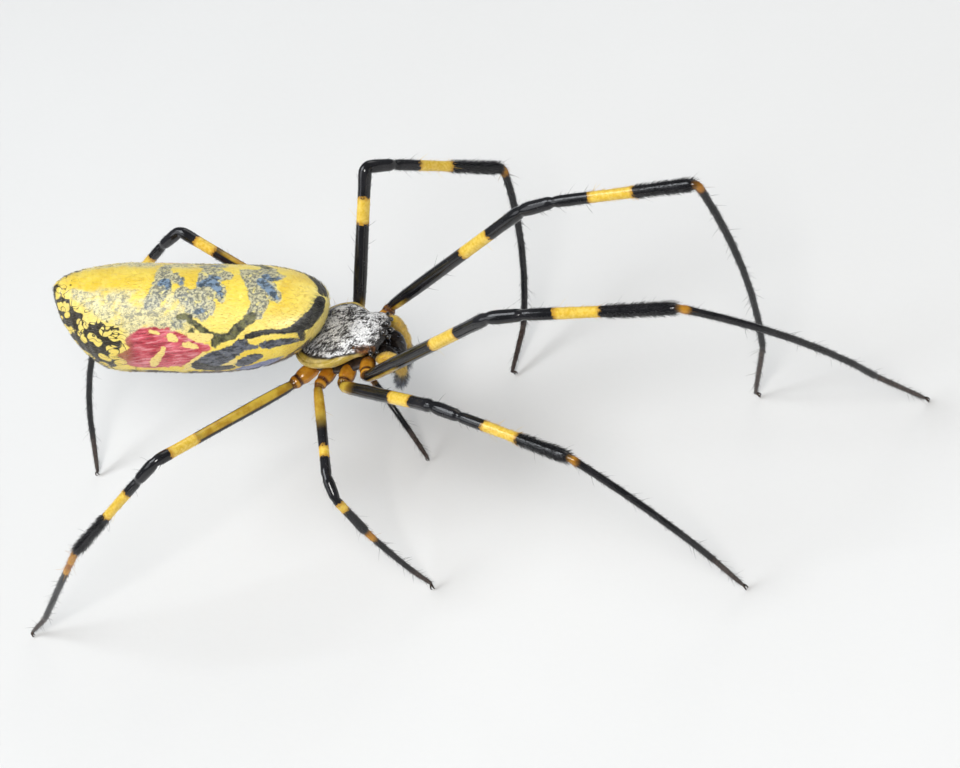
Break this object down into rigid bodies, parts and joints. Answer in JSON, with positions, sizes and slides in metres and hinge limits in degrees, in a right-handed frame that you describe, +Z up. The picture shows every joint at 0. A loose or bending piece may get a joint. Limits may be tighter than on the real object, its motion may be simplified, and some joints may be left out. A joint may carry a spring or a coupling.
{
  "type": "golden silk orb weaver",
  "caption": "Still life-size museum model of a female golden silk orb weaver spider, standing with its long banded legs spread and its yellow, patterned abdomen held level",
  "frame": {"origin": "on the floor under the middle of the model's bounding box", "axes": "+X from tail to head, the longest extent; +Y toward the spider's left; +Z up, the shortest extent, square to the floor it stands on"},
  "size_m": [0.062, 0.0282, 0.0219],
  "materials": {
    "abdomen_skin": "satin",
    "head_skin": "matte",
    "leg_skin": "satin",
    "black_skin": "gloss",
    "orange_skin": "satin",
    "brown_skin": "satin",
    "eye": "gloss"
  },
  "bodies": {
    "root": {"abdomen": "abdomen_skin", "spinnerets": "brown_skin", "pedicel": "brown_skin", "carapace": "head_skin", "sternum": "brown_skin", "mouthparts": "brown_skin", "chelicera_left": "black_skin", "palp_left": "orange_skin", "eye_front_median_left": "eye", "eye_rear_median_left": "eye", "eye_front_lateral_left": "eye", "eye_rear_lateral_left": "eye", "chelicera_right": "black_skin", "palp_right": "orange_skin", "eye_front_median_right": "eye", "eye_rear_median_right": "eye", "eye_front_lateral_right": "eye", "eye_rear_lateral_right": "eye", "coxa_left_1": "orange_skin", "femur_left_1": "leg_skin", "patella_left_1": "leg_skin", "tibia_left_1": "leg_skin", "metatarsus_left_1": "leg_skin", "coxa_left_2": "orange_skin", "femur_left_2": "leg_skin", "patella_left_2": "leg_skin", "tibia_left_2": "leg_skin", "metatarsus_left_2": "leg_skin", "coxa_left_3": "orange_skin", "femur_left_3": "leg_skin", "patella_left_3": "leg_skin", "tibia_left_3": "leg_skin", "metatarsus_left_3": "leg_skin", "coxa_left_4": "orange_skin", "femur_left_4": "leg_skin", "patella_left_4": "leg_skin", "tibia_left_4": "leg_skin", "metatarsus_left_4": "leg_skin", "coxa_right_1": "orange_skin", "femur_right_1": "leg_skin", "patella_right_1": "leg_skin", "tibia_right_1": "leg_skin", "metatarsus_right_1": "leg_skin", "coxa_right_2": "orange_skin", "femur_right_2": "leg_skin", "patella_right_2": "leg_skin", "tibia_right_2": "leg_skin", "metatarsus_right_2": "leg_skin", "coxa_right_3": "orange_skin", "femur_right_3": "leg_skin", "patella_right_3": "leg_skin", "tibia_right_3": "leg_skin", "metatarsus_right_3": "leg_skin", "coxa_right_4": "orange_skin", "femur_right_4": "leg_skin", "patella_right_4": "leg_skin", "tibia_right_4": "leg_skin", "metatarsus_right_4": "leg_skin"}
  },
  "joints": []
}
